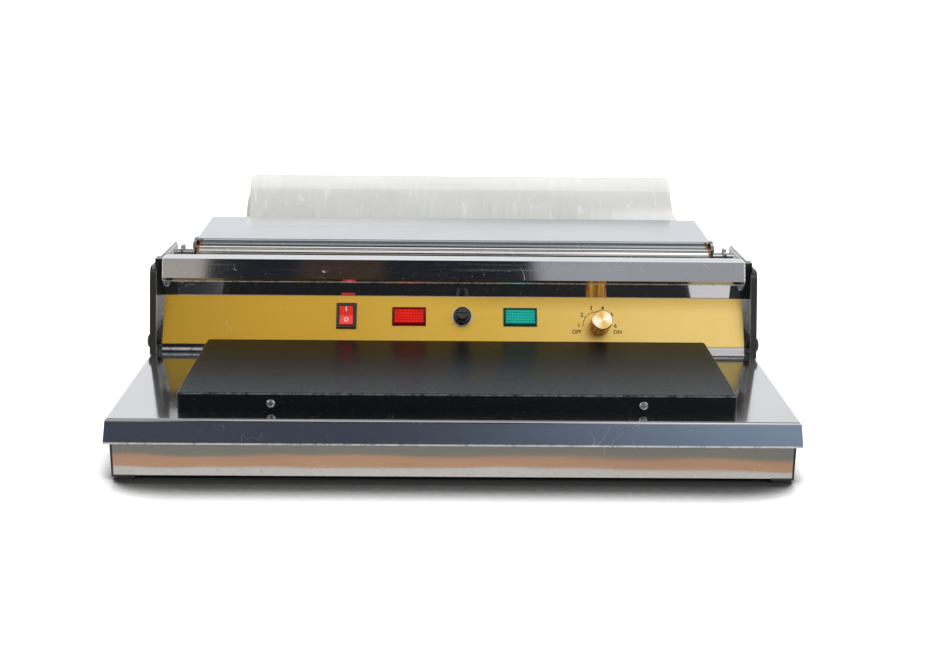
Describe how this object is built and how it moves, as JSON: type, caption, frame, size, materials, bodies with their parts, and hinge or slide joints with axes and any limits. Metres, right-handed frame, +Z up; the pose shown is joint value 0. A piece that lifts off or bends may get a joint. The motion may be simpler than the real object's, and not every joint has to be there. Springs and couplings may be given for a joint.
{
  "type": "cling film wrapping machine",
  "caption": "Tabletop cling film wrapper: hot plate on a steel tray, sloped gold control panel, heated cutter rod, guide roller and a film roll in a roller cradle.",
  "frame": {"origin": "on the table, under the middle of the base", "axes": "+Z up, -Y towards the operator, +X to the operator's right"},
  "size_m": [0.4856, 0.56, 0.1415],
  "materials": {
    "polished_steel": "polished stainless sheet with fine rub marks",
    "skirt_steel": "polished stainless sheet, slightly dulled",
    "black_paint": "black enamel, satin",
    "coated_plate": "black non-stick coating, satin, rim worn bright",
    "gold_sheet": "gold anodised sheet, brushed lengthways",
    "gold_knob": "gold anodised, spun face",
    "galvanised": "plain galvanised sheet",
    "rod_steel": "bright drawn tube",
    "zinc_fixing": "zinc plated",
    "bronze": "sintered bronze",
    "insulator": "amber-brown heat-proof insulator",
    "dark_washer": "blued steel",
    "black_plastic": "moulded, glossy",
    "red_button": "moulded, glossy",
    "red_lens": "translucent, ribbed",
    "green_lens": "translucent, ribbed",
    "white_plastic": "moulded",
    "mica": "mica laminate",
    "fibre_pad": "pressed ceramic fibre",
    "laminations": "stacked sheet, varnished",
    "winding": "taped coil",
    "fuse_glass": "clear tube",
    "rubber": "moulded, matt",
    "core_board": "wound board",
    "film": "clear film wound tight, milky",
    "film_web": "single clear web, creased"
  },
  "bodies": {
    "frame": {"deck_tray": "polished_steel", "base_front_panel": "skirt_steel", "base_rear_panel": "skirt_steel", "side_rail_left": "black_paint", "side_rail_right": "black_paint", "bottom_plate": "galvanised", "rubber_feet": "rubber", "cord_bush": "black_plastic", "hot_plate_cover": "coated_plate", "heater_element": "mica", "insulation_pad": "fibre_pad", "hot_plate_angles": "galvanised", "pan_head_screws": "zinc_fixing", "console_panel": "polished_steel", "fascia_plate": "gold_sheet", "upper_wall": "polished_steel", "valley_tray": "polished_steel", "shelf_cover": "polished_steel", "side_plate_left": "black_paint", "side_plate_right": "black_paint", "side_angles": "galvanised", "side_plate_bolts": "black_paint", "channel_bar": "polished_steel", "channel_bracket_left": "black_paint", "channel_bracket_right": "black_paint", "bridge_bracket_left": "zinc_fixing", "bridge_bracket_right": "zinc_fixing", "cutter_rod": "rod_steel", "cutter_heater": "fibre_pad", "cutter_insulators": "insulator", "cutter_stubs": "rod_steel", "guide_roller_bushes": "bronze", "rod_washers": "dark_washer", "cradle_bracket_left": "black_paint", "cradle_bracket_right": "black_paint", "cradle_bushes": "white_plastic", "film_tail": "film_web", "rocker_bezel": "black_plastic", "red_lens": "red_lens", "green_lens": "green_lens", "lamp_housings": "white_plastic", "fuse_ring": "zinc_fixing", "fuse_holder": "black_plastic", "thermostat_body": "black_plastic", "transformer_core": "laminations", "transformer_coil": "winding", "terminal_block": "white_plastic"},
    "rocker": {"rocker_button": "red_button"},
    "knob": {"temperature_knob": "gold_knob", "thermostat_spindle": "rod_steel"},
    "fuse_carrier": {"fuse_cartridge": "fuse_glass"},
    "fuse_cap": {"fuse_cap": "black_plastic"},
    "guide_roller": {"guide_roller": "rod_steel", "guide_roller_shaft": "rod_steel", "guide_roller_rings": "bronze"},
    "film": {"film_roll": "film", "film_core": "core_board"},
    "front_support_roller": {"support_roller_front": "rod_steel"},
    "rear_support_roller": {"support_roller_rear": "rod_steel"}
  },
  "joints": [
    {"name": "rocker_tilt", "type": "hinge", "parent": "frame", "child": "rocker", "pos_m": [-0.086, -0.11027, 0.07305], "axis": [1, 0, 0], "range_deg": [-20, 0]},
    {"name": "knob_turn", "type": "hinge", "parent": "frame", "child": "knob", "pos_m": [0.117, -0.1128, 0.06747], "axis": [0, -0.866, 0.5], "range_deg": [-132, 83]},
    {"name": "fuse_pull", "type": "slide", "parent": "frame", "child": "fuse_carrier", "axis": [0, -0.866, 0.5], "range_m": [0, 0.028]},
    {"name": "fuse_cap_turn", "type": "hinge", "parent": "fuse_carrier", "child": "fuse_cap", "pos_m": [0.0066, -0.10975, 0.07275], "axis": [0, -0.866, 0.5], "range_deg": [0, 90]},
    {"name": "guide_roller_spin", "type": "hinge", "parent": "frame", "child": "guide_roller", "pos_m": [0, -0.027, 0.1105], "axis": [1, 0, 0], "continuous": true},
    {"name": "film_spin", "type": "hinge", "parent": "frame", "child": "film", "pos_m": [0.006, 0.14, 0.0995], "axis": [1, 0, 0], "continuous": true},
    {"name": "front_support_spin", "type": "hinge", "parent": "frame", "child": "front_support_roller", "pos_m": [0, 0.104, 0.0602], "axis": [1, 0, 0], "continuous": true},
    {"name": "rear_support_spin", "type": "hinge", "parent": "frame", "child": "rear_support_roller", "pos_m": [0, 0.176, 0.0602], "axis": [1, 0, 0], "continuous": true}
  ],
  "couplings": [
    {"joint": "front_support_spin", "follows": "film_spin", "ratio": -3.8182},
    {"joint": "rear_support_spin", "follows": "film_spin", "ratio": -3.8182}
  ]
}
